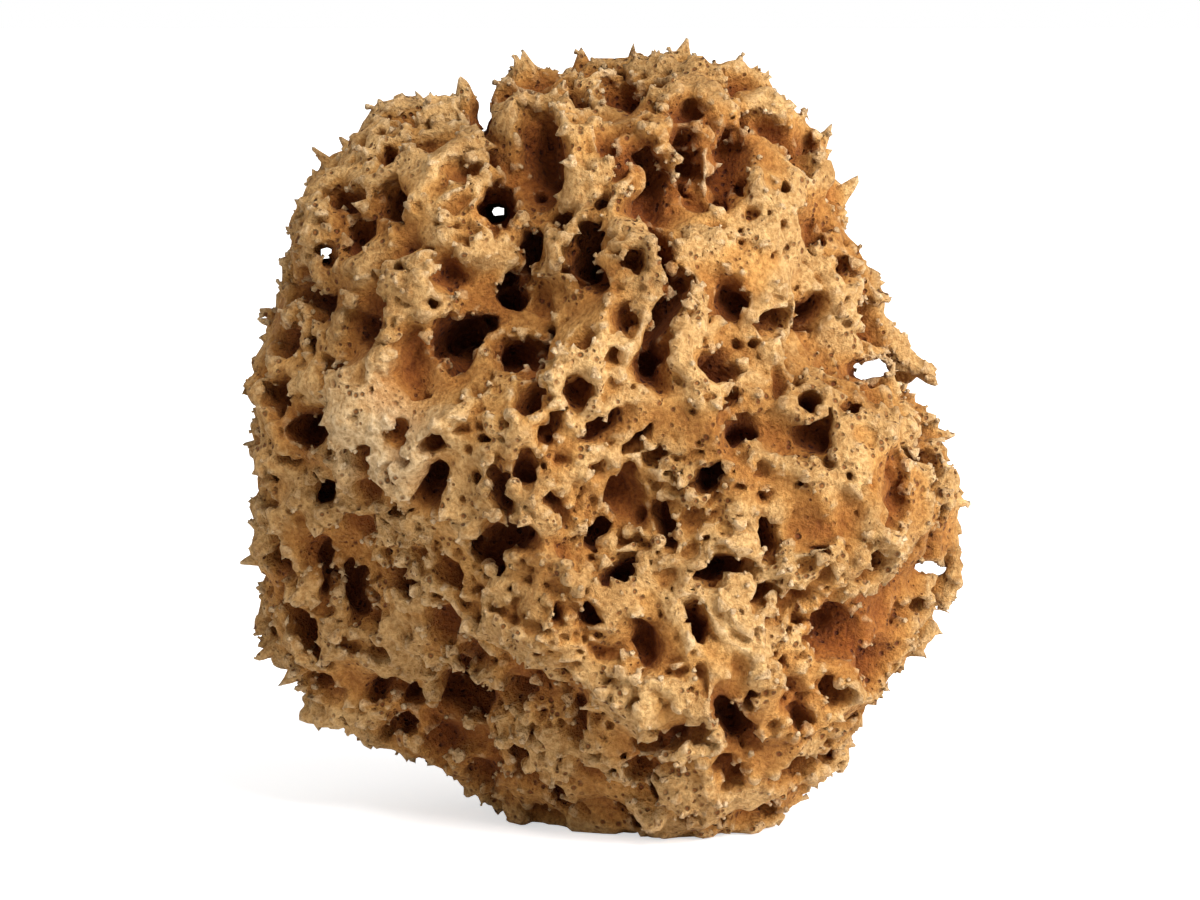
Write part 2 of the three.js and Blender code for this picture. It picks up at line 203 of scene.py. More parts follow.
def carve_scalloped(at, inward, width, height, lean, depth):
    """A wide hollow eaten out as several rounded ones that meet, so that its rim has cusps."""
    narrow = min(width, height)
    if narrow < 2.3:
        carve(at, inward, width, height, lean, depth, 0.3, 0.12)
        return
    carve(at, inward, 0.9 * width, 0.9 * height, lean, depth, 0.35, 0.15)
    tilt = math.radians(lean)
    up = Vector((math.sin(tilt), 0, math.cos(tilt)))
    side = up.cross(inward).normalized()
    up = inward.cross(side).normalized()
    count = max(4, round((width + height) / 1.9))
    for k in range(count):
        turn = 2 * math.pi * (k + rng.uniform(-0.3, 0.3)) / count
        scallop = min(rng.uniform(0.36, 0.62) * narrow, 4.2)
        middle = at + side * (0.5 * width - 0.42 * scallop) * math.cos(turn)
        middle += up * (0.5 * height - 0.42 * scallop) * math.sin(turn)
        carve(middle, (inward + Vector(rng.normal(0, 0.12, 3))).normalized(), scallop,
              scallop * rng.uniform(0.8, 1.25), 0, depth * rng.uniform(0.4, 0.9), 0.3, 0.15)


# The hollows of the front, each as the photograph shows it: across and up from the middle of the
# foot, the width and height of its mouth, the degrees that its top leans to the right, and how
# deep it goes, in mm. They are placed along the line of sight.
EYE = Vector((-0.9, -796.1, 154.6))
FRONT_HOLLOWS = [
    # upper left lobe
    (-41, 118.5, 6.5, 7.5, 0, 12), (-49.5, 120, 4.5, 8, -15, 9), (-46.5, 112, 10, 6, -60, 7),
    (-32, 128.5, 9, 6.5, 0, 7), (-29, 104, 6.5, 6.5, 35, 7), (-46, 98.5, 9, 9, 0, 4),
    (-61, 92.5, 6, 6, 0, 6), (-36, 87, 9, 11, 20, 4),
    # the cleft and the cavities below it
    (-13.5, 129, 8, 22, -17, 14), (-19.5, 118, 7.5, 9.5, -25, 16), (-3.5, 111, 15, 6, -62, 22),
    (-13.5, 108, 5, 10, 10, 18), (-17, 102, 6, 7, 20, 16), (-26, 92.5, 8, 14, 52, 22),
    (-17, 91, 7, 9, 15, 12), (-12.5, 92.5, 4, 8, 0, 8), (4.5, 106.5, 6.5, 4.5, -60, 9),
    # the crown
    (3.5, 139, 8, 9, 0, 9), (15.5, 137, 5, 8, 45, 9), (24, 127, 9, 19, 10, 10),
    (33.5, 130.5, 6, 14, -48, 8), (9, 121, 6.5, 11, -10, 16), (15.5, 122.5, 8, 6, -45, 14),
    (28, 139, 4, 7, 75, 5),
    # the middle
    (12.5, 108.5, 6.5, 8.5, 0, 18), (12, 98, 7, 15, 22, 13), (11, 90, 6.5, 6, 50, 12),
    (24, 99.5, 6, 7.5, 0, 12), (32, 95.5, 9.5, 5, 0, 9), (-4.5, 102.5, 5.5, 5.5, 0, 11),
    (3.5, 94, 7.5, 5.5, 50, 7), (9.5, 84.5, 9, 7, 40, 7), (-15, 82, 8, 6.5, -50, 9),
    (-5, 83, 6, 7, 0, 7), (-10.3, 76, 4.5, 8, 10, 8), (-0.5, 75.5, 5.5, 9, 55, 8),
    (6.3, 73, 3.5, 8, 60, 11), (4.2, 62, 6, 10, -20, 8), (-13.5, 67, 5.5, 8.5, 0, 7),
    (-18.5, 62.5, 5, 12, -12, 8), (-20.5, 52, 7.5, 16, 68, 14), (-1, 56.2, 4.6, 6.5, 0, 16),
    (11.5, 57, 4.5, 10, -28, 9), (3, 49, 4.5, 8, 35, 12), (19.5, 65.5, 5, 7.5, 50, 15),
    (27, 73.5, 6.5, 6, 25, 10),
    # the left
    (-57, 75.5, 5.5, 6, 20, 15), (-32.8, 64, 5.5, 11.5, 22, 16), (-40.5, 72.5, 7, 4.5, -70, 5),
    (-53, 63.5, 6, 4.5, -50, 9), (-45.5, 62.5, 6, 5.5, -45, 6), (-63.5, 83, 5, 6, 0, 6),
    # the lower left, in shade
    (-53, 48, 4.5, 11, 0, 9), (-48, 44.5, 6, 12, 0, 11), (-57, 35.5, 6, 12, -28, 10),
    (-31, 36.5, 9, 6.5, -60, 5), (-27, 26, 9.5, 12, 10, 18), (-35.5, 22.5, 5.5, 6, -25, 9),
    (-43.5, 23.5, 9, 5.5, -60, 8), (-38.5, 16.5, 7.5, 7, 0, 10), (-29, 14.5, 9.5, 5.5, -80, 9),
    (-56, 25.5, 8, 7, -20, 6), (-17.5, 12.5, 6, 6, 0, 7), (-24, 6, 10, 5, -70, 7),
    # the foot
    (-15.5, 22.5, 7, 7, -30, 9), (-5.5, 18, 11, 4.5, -75, 7), (5, 33, 5.5, 10, -20, 9),
    (10, 14.5, 4.5, 12, 62, 9), (9, 8.5, 7, 7, 0, 8), (25.5, 17, 7.5, 13, -25, 15),
    (16.5, 36, 4.5, 10, 0, 10), (23, 47.5, 4.5, 9, 72, 11), (-10, 3.5, 10, 5, 85, 8),
    (5.5, -0.5, 6, 4.5, 90, 9), (18, 15.5, 6, 4.5, 20, 6),
    # the right
    (29.8, 54, 5, 10, -18, 12), (40.5, 73, 6, 7.5, 45, 9), (51, 94.5, 8, 10, -20, 7),
    (56, 62.5, 7, 14, 0, 7), (52.5, 49.5, 5, 7, -20, 6), (43.5, 36.5, 9.5, 7.5, -20, 11),
    (38.5, 18, 3.5, 9, -15, 6), (32.5, 85, 4, 9, 0, 5), (45, 105, 4, 7, 0, 4),
    # the small ones of the upper left lobe
    (-27.6, 126.1, 1.8, 3, 0, 3), (-22, 126, 4.5, 6, 0, 7), (-17.5, 113.5, 3, 4, 0, 8),
    (-13.5, 139.5, 3, 3, 0, 4), (-15, 142, 6, 4, 0, 4), (-6, 140.5, 3, 4, 0, 4),
    (-5.5, 136.5, 3, 3.5, 0, 4), (-5, 133.5, 4, 1.9, 0, 2), (-26.7, 110.6, 4.5, 3.5, 0, 2),
    (-53, 108.5, 4, 6, 0, 4), (-41.8, 106.3, 2.4, 2.6, 0, 5), (-38.8, 105.2, 2.5, 2.6, 0, 5),
    (-56.4, 103.3, 4.5, 2.8, 0, 6), (-32.7, 97.9, 2.3, 2.6, 0, 6), (-48, 92.1, 3.2, 3, 0, 7),
    (-36, 94.3, 1.4, 1.8, 0, 3), (-37.2, 87.2, 1.8, 1.6, 0, 3), (-35.2, 81.2, 2.6, 5.5, 90, 4),
    (-47.5, 84.5, 4, 7, 0, 2), (-62.5, 80.7, 1.5, 1.5, 0, 3), (-58, 88.8, 1.6, 3.5, -45, 3),
    (-40.5, 127.5, 3.6, 5.5, 0, 8), (-29, 118, 4, 7, 70, 3.5),
    # the small ones of the crown
    (14.5, 134, 2, 2, 0, 4), (11.5, 144.3, 2.5, 1.8, 0, 2), (1.5, 129.5, 5, 7, 0, 7),
    (2, 122.5, 3.5, 5, 0, 5), (-4.5, 119.5, 2.5, 3, 0, 1.5), (11.2, 115.5, 4.5, 7, 0, 9),
    (14, 129, 4, 3, 0, 1.5), (27.5, 139.8, 2.5, 9, 100, 3), (33.5, 120.4, 1.6, 3, 0, 5),
    (31, 121.5, 2.5, 5, 0, 1.5), (39.5, 113.5, 2.5, 5, 30, 4), (42.5, 119.5, 1.9, 4, 0, 1.5),
    # the small ones below the crown
    (-20.5, 111.5, 3, 3.5, 0, 4), (-8, 114.5, 5, 5, 0, 6), (5.5, 99.5, 1.6, 2.8, 0, 5),
    (-12.7, 99.8, 5.5, 6, 0, 3), (16.8, 97, 2.8, 4.5, 0, 2.5), (-15, 89.3, 3.5, 4, 0, 10),
    (-5, 95.8, 5, 3, 0, 1.5), (1.4, 93, 3, 3.5, 0, 4), (2.2, 87.8, 5, 4, 0, 5),
    (-8.5, 80, 2.2, 2.2, 0, 6), (1.5, 83, 3, 3, 0, 1.5), (24.9, 90, 1.9, 4, 0, 5),
    (27.8, 111, 1.6, 1.6, 0, 3), (34.3, 108, 1.4, 2, 0, 3), (28, 102.3, 2.5, 1.8, 0, 3),
    (32, 100.5, 2.5, 1.5, 0, 1.5), (35.5, 102.5, 2.2, 3.5, 0, 1.5), (33.5, 113, 2, 3, 0, 3),
    (48.5, 85.8, 3, 10, 90, 3), (39.5, 80.9, 4, 4.2, 0, 9), (28.5, 87.7, 1.5, 2, 0, 3),
    (31, 81.5, 3, 6, 0, 2), (48.3, 78.7, 3.5, 4.3, 0, 8), (57.5, 84, 2.4, 5, 90, 1.5),
    (41.5, 96.8, 1.4, 3, 90, 2),
    # the small ones of the left
    (-46.8, 75.8, 1.2, 1.2, 0, 2), (-42.8, 68.8, 3.8, 2.8, 0, 1.5), (-26.7, 74, 2.5, 4, 90, 3),
    (-22.8, 72, 3, 2.3, 0, 5), (-32, 58.5, 5, 3, 0, 3), (-24, 64.8, 2.4, 2.4, 0, 5),
    (-55.8, 66.3, 3, 2.5, 0, 5), (-60.3, 69, 2.9, 6, 90, 4), (-57, 70.3, 3, 1.8, 0, 3),
    (-62.2, 72.5, 3, 3, 0, 1.5), (-66.5, 77, 2, 2, 0, 1), (-46.3, 62.5, 1.8, 2, 0, 5),
    (-59.2, 60.2, 1.6, 2.2, 0, 4), (-58, 58, 4, 5, -45, 4), (-65, 60.5, 1.5, 3, 90, 2),
    (-37.8, 54.3, 1.8, 1.6, 0, 4), (-36.4, 50.6, 3, 2.3, 0, 5), (-41, 49.5, 3, 4.5, -55, 4),
    (-21.5, 48, 3, 4.5, 0, 12), (-17, 54, 8, 4, 0, 8),
    # the small ones of the middle
    (-9.3, 72.5, 3, 3, 0, 7), (-8.6, 61, 3, 2.5, 0, 5), (-6.5, 59, 4, 6, 0, 2), (2.8, 55, 3.5, 3, 0, 4),
    (-6.7, 51.7, 5.5, 4.5, 0, 2.5), (17, 51.5, 4, 4, 0, 3), (13.9, 73.7, 4, 3.2, 0, 1.5),
    (17.8, 78.2, 2, 2, 0, 2.5), (4.5, 78.8, 1.3, 1.3, 0, 2), (23.5, 66.8, 5, 4, 0, 5),
    (19.7, 53.4, 2.2, 2, 0, 5), (13.5, 47.5, 6, 5, 0, 3), (5, 67.3, 3, 5, 0, 6),
    # the small ones of the right
    (38.5, 72.5, 3, 4, 0, 7), (43, 76.8, 3, 3, 0, 6), (42.5, 68, 4, 3, 0, 4), (50, 72.8, 3, 3.5, 0, 1.5),
    (25.5, 63.3, 1.7, 3.5, 90, 5), (29.3, 61.5, 2.5, 3.2, -50, 6), (30.5, 66.5, 4, 5, 0, 4),
    (38, 51.7, 2.2, 5, -55, 5), (46.5, 65.7, 1.8, 1.8, 0, 3), (47.3, 59.5, 1.5, 1.5, 0, 3),
    (49.8, 53, 4.5, 4.5, 0, 2), (50, 46.3, 1.9, 4, 90, 4), (60, 38.3, 1.5, 1.2, 0, 3),
    # the small ones of the lower left
    (-55, 43, 3, 5, 0, 7), (-49.1, 37.8, 2.2, 3, 0, 5), (-48.5, 33.3, 3.5, 3, 0, 4),
    (-39, 44, 3, 3.5, 0, 4), (-38, 37, 2.5, 3, 0, 3), (-36.8, 33, 4.5, 3.5, 0, 7),
    (-35.2, 30.8, 3, 1.6, 0, 3), (-36.5, 27, 4, 3.5, 0, 2), (-23.7, 38, 2, 1.8, 0, 4),
    (-28, 45, 1.5, 3, 90, 4), (-25, 42, 2, 4, 90, 1.5), (-14.5, 6.5, 2, 2, 0, 4),
    (-18.5, 7.5, 5, 4, 0, 5),
    # the small ones of the foot
    (-9.3, 37.7, 3.2, 3.3, 0, 8), (-1.1, 38.9, 4, 4.6, 0, 10), (9.3, 39.3, 1.9, 2.8, 0, 5),
    (-3.2, 43.3, 1.7, 1.7, 0, 3), (-10.2, 43.2, 4, 10, 65, 2), (-18, 38.8, 2.5, 4, -60, 3),
    (-19, 32.7, 2.3, 3.5, 0, 4), (4.4, 34.3, 3.5, 6, 0, 7), (6, 30.5, 4.5, 4.5, 0, 8),
    (0, 31.3, 3.5, 8, -75, 3), (-8.6, 27.6, 2.5, 3.3, 0, 6), (-15.5, 29.5, 1.4, 1, 0, 2),
    (-19.3, 20.5, 1.6, 1.6, 0, 4), (1.3, 18, 2, 3, 0, 3), (10.3, 26.3, 2, 2.2, 0, 5),
    (13, 25.5, 4, 4, 0, 4), (16.3, 25.1, 3, 5, -40, 4), (11, 29, 2.4, 5, -60, 3), (22, 37.5, 4, 6, 0, 2),
    (3.6, 14.8, 1.2, 1.2, 0, 2), (4, 11.5, 1.8, 3, 0, 6), (-7.8, 11.2, 3, 1.4, 0, 4),
    (-2, 9.7, 2.5, 1.4, 0, 4), (26, 6, 6, 7, 0, 9), (29.1, 22.9, 3, 4.5, 0, 8), (42.5, 32.5, 4, 4, 0, 4),
    (37.7, 42, 3, 5.5, -50, 5), (36.8, 37.3, 2.5, 4, 0, 4), (28.3, 37.7, 1.4, 1.4, 0, 2),
    (32, 33.8, 3, 4, 0, 1.5), (28.3, 31.7, 1.2, 1.2, 0, 2), (36.5, 26.8, 3.5, 2.5, 0, 1.5),
    (44, 28.2, 1.4, 1.4, 0, 2), (50.8, 24.3, 3.5, 3, 0, 4), (46.2, 22.6, 2.2, 1.5, 0, 2.5),
    (54.5, 33.3, 2.5, 1.4, 0, 2.5), (48.5, 32, 2, 1.2, 0, 2), (54.3, 41.3, 1.3, 1.3, 0, 2),
    (44.3, 42.3, 1.5, 1.5, 0, 2.5), (35.8, 9.5, 2.2, 4, 0, 4), (43.3, 12.7, 1.5, 1.5, 0, 2),
    (25.8, 27, 5, 4, 0, 2), (15.8, -0.5, 4.5, 3.5, 0, 8),
]


def seen_at(x, z):
    """The place in the middle plane that the front view shows at x and z mm."""
    return Vector((x + 0.1, -0.5, z * 1.0055))


for x, z, width, height, lean, depth in FRONT_HOLLOWS:
    sight = (seen_at(x, z) - EYE).normalized()
    at, normal, _, _ = cover.ray_cast(EYE, sight)
    if at:
        carve_scalloped(at, (sight - normal).normalized(), width, height, lean, depth)


def spread(count, wander, tilt):
    """Places spread over the whole outside by a golden spiral, each with its way out and in.

    The way out strays at random by wander, and the way in by tilt.
    """
    for i in range(count):
        up = 1 - (2 * i + 1) / count
        turn = i * math.pi * (3 - math.sqrt(5))
        out = Vector((math.cos(turn), math.sin(turn), 0)) * math.sqrt(1 - up * up)
        out.z = up
        out = (out + Vector(rng.normal(0, wander, 3))).normalized()
        at, normal, _, _ = cover.ray_cast(MIDDLE + out * 200, -out)
        if at and at.z > 0.5:
            yield at, out, (-normal - 0.6 * out + Vector(rng.normal(0, tilt, 3))).normalized()


# Hollows like the front's open the sides, the back and the crown.
for at, out, inward in spread(560, wander=0.03, tilt=0.3):
    width = rng.uniform(3.6, 8.2)
    height, lean, depth = width * rng.uniform(0.7, 1.5), rng.uniform(0, 180), rng.uniform(0.7, 1.8)
    if out.y > -0.4 or (out.y > -0.6 and rng.random() < 0.5):
        carve_scalloped(at, inward, width, height, lean, width * depth)

# Smaller ones fill what room is left, as wide as they can be with a web of 1 mm or so round each,
# except on a few broad plates. Each round has its number of places, how deep it looks for room
# and the least room that it takes, in mm.
plates = swells(12)
for count, probe, least in ((2400, 4.6, 2.4), (4200, 3.4, 1.4), (4200, 2.2, 0.9)):
    for at, out, inward in spread(count, wander=0.03, tilt=0.25):
        room = min(probe, -read_at(sponge, at + inward * probe))
        opened = read_at(sponge, at + inward * 0.8) > -0.2
        if room < least or opened or read_at(plates, at) > 1.35:
            continue
        width = 2 * room - rng.uniform(0.2, 1.1)
        height, lean, depth = width * rng.uniform(0.8, 1.3), rng.uniform(0, 180), rng.uniform(0.7, 1.7)
        if width > 3.2:
            carve_scalloped(at, inward, width, height, lean, width * depth)
        else:
            carve(at, inward, width, height, lean, width * depth, 0.3, 0.12)

# Pinholes riddle the webs in clusters.
clusters = swells(14)
for at, out, inward in spread(12000, wander=0.015, tilt=0.3):
    width = rng.uniform(0.9, 1.7)
    if read_at(clusters, at) > rng.normal(0.25, 0.8):
        carve(at, inward, width, width * rng.uniform(0.9, 1.5), rng.uniform(0, 180),
              rng.uniform(2, 4), 0.3, 0.1)


def grow(start, stop, thick, tip, stretch=1.0):
    """Fuses on a spur from one place to another, thick and tip mm in radius at its ends."""
    length = (stop - start).length
    box, (x, y, z) = around((start + stop) / 2, length / 2 + (thick + 1) * stretch)
    way = (stop - start) / length
    share = np.clip((x * way.x + y * way.y + z * way.z) / length + 0.5, 0, 1)
    x, y, z = (c - w * (share - 0.5) * length for c, w in zip((x, y, z), way))
    spur = np.sqrt(x * x + (y / stretch) ** 2 + z * z) - (thick + (tip - thick) * share)
    np.minimum(sponge[box], spur + ragged[box] * 0.2, out=sponge[box])


# A thick smooth flap is drawn down to a point on the right: across, up and the radius at each of
# its bends, in mm.
FLAP = [(45, 104, 3.4), (48.3, 97.6, 4.2), (54.6, 90.2, 3.4), (63, 83.6, 0.6)]
for (x, z, thick), (next_x, next_z, tip) in zip(FLAP, FLAP[1:]):
    grow(Vector((x, 0, z)), Vector((next_x, 0, next_z)), thick, tip, 1.8)

# The smooth edges of the form and of the hollows wander as grown ones do: everything within 4 mm
# of the skin is moved by fields of two sizes, each with its push in mm.
near = np.abs(sponge) < 4
places = np.array(np.nonzero(near), np.float32)
for size, push in ((7, 0.75), (2.6, 0.32)):
    for axis in range(3):
        places[axis] += swells(size)[near] * push / CELL
sponge[near] = read(sponge.copy(), places)

# Rims and ridges, which have little sponge around them, are rough; the walls down in the pits are
# smoother.
filled = np.clip(0.5 - sponge / (2 * CELL), 0, 1)
crowding = softened(filled, 4, 3)
outermost = np.clip((0.62 - crowding) / 0.14, 0, 1)
sponge += outermost * (0.10 * swells(1.2) + 0.13 * swells(2.4))

# Points stand on the ridges, each drawn out of the skin like the peak of a tent, and at most one
# in each patch of the grid.
PATCH = 4  # cells
PEAK_SHARE = 0.23  # of the patches have one
on_ridge = (crowding > 0.12) & (crowding < 0.38)
ridges = np.argwhere((np.abs(sponge) < 0.5 * CELL) & on_ridge)
rng.shuffle(ridges)
smooth = softened(filled, 3, 2)
taken = set()
for cell in ridges[:60000]:
    patch = tuple(cell // PATCH)
    if patch in taken or cell.min() < 3 or any(cell > np.array(sponge.shape) - 4):
        continue
    taken.add(patch)
    i, j, k = cell
    out = -Vector((smooth[i + 2, j, k] - smooth[i - 2, j, k],
                   smooth[i, j + 2, k] - smooth[i, j - 2, k],
                   smooth[i, j, k + 2] - smooth[i, j, k - 2]))
    if out.length < 1e-4 or rng.random() < 1 - PEAK_SHARE:
        continue
    out = (out.normalized() + Vector(rng.normal(0, 0.5, 3))).normalized()
    height = rng.uniform(1.5, 2.7)
    foot = Vector((cell + low_cell) * CELL) - out * 0.8
    box, (x, y, z) = around(foot + out * height * 0.5, height * 0.5 + 2)
    along = x * out.x + y * out.y + z * out.z + height * 0.5
    off = np.sqrt(np.maximum(x * x + y * y + z * z - (along - height * 0.5) ** 2, 0))
    share = np.clip(along / height, 0, 1)
    peak = off - (0.3 + 1.2 * (1 - share) ** 1.7)
    peak = np.maximum(peak, np.maximum(along - height, -along - 0.6))
    np.minimum(sponge[box], peak, out=sponge[box])

# Spurs stand out along the outline: the place of each tip as seen from the front, and its height.
OUTLINE_SPURS = [
    (-27.5, 142, 5), (-42.6, 136.8, 4), (-54.8, 128, 3), (-60.5, 112.8, 3), (-62.6, 102.8, 3),
    (-65.5, 97.4, 3), (-69, 71.5, 3), (-69, 49.5, 4), (-66.8, 31, 3), (-63, 25, 3), (-58, 20.5, 3),
    (62.4, 77.5, 3), (66.8, 73.8, 3), (69, 61, 4), (68, 51.5, 2), (48, 122.8, 3), (43, 132.6, 3),
    (15.5, 148.8, 4), (-4.6, 148, 4), (5.4, 147.6, 2), (25.5, 145, 3), (31, 143, 3),
    (-15.5, 146.4, 3), (54.4, 25, 2), (-21.5, 139.8, 2), (-17, 145.8, 3), (9.5, 147.2, 2),
    (38.3, 135.6, 2), (-36, 139, 2), (-50, 130, 3), (65.4, 43.8, 2), (50.8, 105.5, 2),
]
for x, z, height in OUTLINE_SPURS:
    tip = Vector((x + 0.1, rng.uniform(-4, 4), z * 1.003))
    root = tip + (MIDDLE - tip).normalized() * (height + 3)
    grow(root, tip, 0.7 * height, 0.35)

# Daylight shows through a few tunnels, through a notch under the flap and through the cleft in
# the crown, all cut along the line of sight and wider towards the front and the back: the place
# of each in the front view, its width and height, and how far it swells out inside, in mm.
DAYLIGHT = [
    (-20.3, 115.8, 3.2, 2.4, 0.4), (-52.6, 108.5, 3.0, 2.2, 0.4), (50.8, 86.2, 6.6, 3.6, 0),
    (48.6, 85, 4, 2.4, 0), (61, 48.4, 4.6, 2.4, 0.4), (65.5, 80.3, 15, 3.8, 0),
    (-23.2, 147, 7, 9, 1.7), (-23, 139.8, 4.4, 8, 1.7), (-22.9, 134.6, 2.8, 8, 1.7),
]
bulges = np.clip(swells(6), 0, 1.5)
for x, z, width, height, bulge in DAYLIGHT:
    middle = seen_at(x, z)
    sight = (middle - EYE).normalized()
    side = sight.cross(Vector((0, 0, 1))).normalized()
    up = side.cross(sight)
    box, (x, y, z) = around(middle, np.array((11, 80, 11)))
    opening = 1 + 1.1 * (np.abs(y) / 45) ** 1.5
    across = (x * side.x + y * side.y + z * side.z) / (width / 2 * opening)
    upward = (x * up.x + y * up.y + z * up.z) / (height / 2)
    through = (1 - np.hypot(across, upward)) * min(width, height) / 2 + ragged[box] * 0.35
    through += bulge * bulges[box] * np.clip(np.abs(y) / 9 - 0.2, 0, 1)
    np.maximum(sponge[box], through, out=sponge[box])

# The base is cut off flat.
sponge = np.maximum(sponge, -grid_z[None, None, :].astype(np.float32))

carved = openvdb.FloatGrid(BAND * CELL)
carved.transform = cells
carved.copyFromArray(sponge, ijk=tuple(int(c) for c in low_cell))
points, _, quads = carved.convertToPolygons(isovalue=0, adaptivity=0)
skin = bpy.data.meshes.new("skeleton")
skin.vertices.add(len(points))
skin.vertices.foreach_set("co", (points / 1000).astype(np.float32).ravel())
skin.loops.add(len(quads) * 4)
skin.loops.foreach_set("vertex_index", quads[:, ::-1].astype(np.int32).ravel())
skin.polygons.add(len(quads))
skin.polygons.foreach_set("loop_start", np.arange(0, len(quads) * 4, 4, dtype=np.int32))
skin.update(calc_edges=True)
skeleton = bpy.data.objects.new("skeleton", skin)
bpy.context.scene.collection.objects.link(skeleton)


def geometry_tree(name):
    """A geometry node group with a mesh in and a mesh out, and its two end nodes."""
    tree = bpy.data.node_groups.new(name, "GeometryNodeTree")
    for way in ("INPUT", "OUTPUT"):
        tree.interface.new_socket("Geometry", in_out=way, socket_type="NodeSocketGeometry")
    return tree, tree.nodes.new("NodeGroupInput"), tree.nodes.new("NodeGroupOutput")


# Crumbs that the hollows cut loose are dropped, and then the skin is thinned.
CRUMB_POINTS = 20000  # an island with fewer is a crumb
SKIN_TRIANGLES = 195000
tree, mesh_in, mesh_out = geometry_tree("drop crumbs")
island = tree.nodes.new("GeometryNodeInputMeshIsland")
tally = tree.nodes.new("GeometryNodeAccumulateField")
tally.data_type = "INT"
tally.inputs["Value"].default_value = 1
few = tree.nodes.new("FunctionNodeCompare")
few.data_type = "INT"
few.operation = "LESS_THAN"
few.inputs[3].default_value = CRUMB_POINTS
drop = tree.nodes.new("GeometryNodeDeleteGeometry")
for a, b in (
    (island.outputs["Island Index"], tally.inputs["Group ID"]),
    (tally.outputs["Total"], few.inputs[2]),
    (mesh_in.outputs[0], drop.inputs["Geometry"]),
    (few.outputs[0], drop.inputs["Selection"]),
    (drop.outputs[0], mesh_out.inputs[0]),
):
    tree.links.new(a, b)
skeleton.modifiers.new("drop crumbs", "NODES").node_group = tree
skeleton.modifiers.new("thin", "DECIMATE").ratio = SKIN_TRIANGLES / (2 * len(quads))
view = bpy.context.evaluated_depsgraph_get()
skin = bpy.data.meshes.new_from_object(skeleton.evaluated_get(view))
skeleton.modifiers.clear()
skeleton.data = skin
skin.shade_smooth()

# How crowded each place is by the sponge around it: little on points and rims, much down in pits.
filled = np.clip(0.5 - sponge / (2 * CELL), 0, 1)
crowded_wide = softened(filled, 5, 3)
crowded_close = softened(filled, 1, 2)


def note_crowding(mesh):
    """Keeps how crowded each vertex is and how far it lies under the cover, for the colours, the painted
    shade and the painted highlight.
    """
    corners = np.empty(len(mesh.vertices) * 3, np.float32)
    mesh.vertices.foreach_get("co", corners)
    corners = corners.reshape(-1, 3).T * 1000 / CELL - low_cell[:, None]
    for name, field in (("pitted", crowded_wide), ("rim", crowded_close), ("sunk", sunk)):
        mesh.attributes.new(name, "FLOAT", "POINT").data.foreach_set("value", read(field, corners))


note_crowding(skin)

# Golden brown fibre: pale on points and rims, partly its own paler fibre ends and partly a painted
# highlight, orange brown down in the pits, partly its own tone and partly painted shade, riddled with
# pores painted dark as their shade.
fibre = bpy.data.materials.new("sponge_fibre")
fibre.use_nodes = True
surface = fibre.node_tree.nodes["Principled BSDF"]
surface.inputs["Roughness"].default_value = 0.85
surface.inputs["Specular IOR Level"].default_value = 0.25


def node(kind, **values):
    """A new shader node of the fibre, with its properties set."""
    made = fibre.node_tree.nodes.new(kind)
    for key, value in values.items():
        setattr(made, key, value)
    return made


def link(a, b):
    """Joins an output to an input."""
    fibre.node_tree.links.new(a, b)


def ramp(source, *stops):
    """A colour for each value of the source, from stops of a position and a colour."""
    made = node("ShaderNodeValToRGB")
    for position, colour in stops[2:]:
        made.color_ramp.elements.new(position).color = (*colour, 1)
    for end, (position, colour) in ((0, stops[0]), (-1, stops[1])):
        made.color_ramp.elements[end].position = position
        made.color_ramp.elements[end].color = (*colour, 1)
    link(source, made.inputs["Fac"])
    return made.outputs["Color"]


def mix(kind, share, a, b):
    """One colour mixed into another; each may be a socket or a value."""
    made = node("ShaderNodeMix", data_type="RGBA", blend_type=kind)
    for socket, value in zip((made.inputs[0], made.inputs[6], made.inputs[7]), (share, a, b)):
        if isinstance(value, bpy.types.NodeSocket):
            link(value, socket)
        else:
            socket.default_value = value if isinstance(value, float) else (*value, 1)
    return made.outputs[2]


def noise(scale, detail):
    """Cloudy grey, in lumps of about 1 / scale m."""
    made = node("ShaderNodeTexNoise")
    made.inputs["Scale"].default_value = scale
    made.inputs["Detail"].default_value = detail
    made.inputs["Roughness"].default_value = 0.62
    link(where, made.inputs["Vector"])
    return made.outputs["Fac"]


WHITE, BLACK = (1, 1, 1), (0, 0, 0)
where = node("ShaderNodeTexCoord").outputs["Object"]
pitted = node("ShaderNodeAttribute", attribute_name="pitted").outputs["Fac"]
rim = node("ShaderNodeAttribute", attribute_name="rim").outputs["Fac"]
sunk_share = node("ShaderNodeMath", operation="DIVIDE")
sunk_share.inputs[1].default_value = BAND * CELL
link(node("ShaderNodeAttribute", attribute_name="sunk").outputs["Fac"], sunk_share.inputs[0])
# Darker the deeper a place lies under the cover: the fibre's own deeper tone together with painted shade
# in the hollows.
colour = ramp(sunk_share.outputs[0], (0.02, (0.63, 0.400, 0.172)), (0.98, (0.26, 0.076, 0.009)),
              (0.14, (0.57, 0.308, 0.096)), (0.32, (0.48, 0.222, 0.054)),
              (0.62, (0.36, 0.132, 0.025)))
# Painted shade: darker still where the sponge crowds round, down in the pits.
colour = mix("MULTIPLY", 1.0, colour, ramp(pitted, (0.5, WHITE), (0.85, (0.69, 0.56, 0.43))))
# Painted highlight on the sharp rims, over the paler colour that the fibre ends have there.
colour = mix("MIX", ramp(rim, (0.22, WHITE), (0.40, BLACK)), colour, (0.73, 0.55, 0.345))

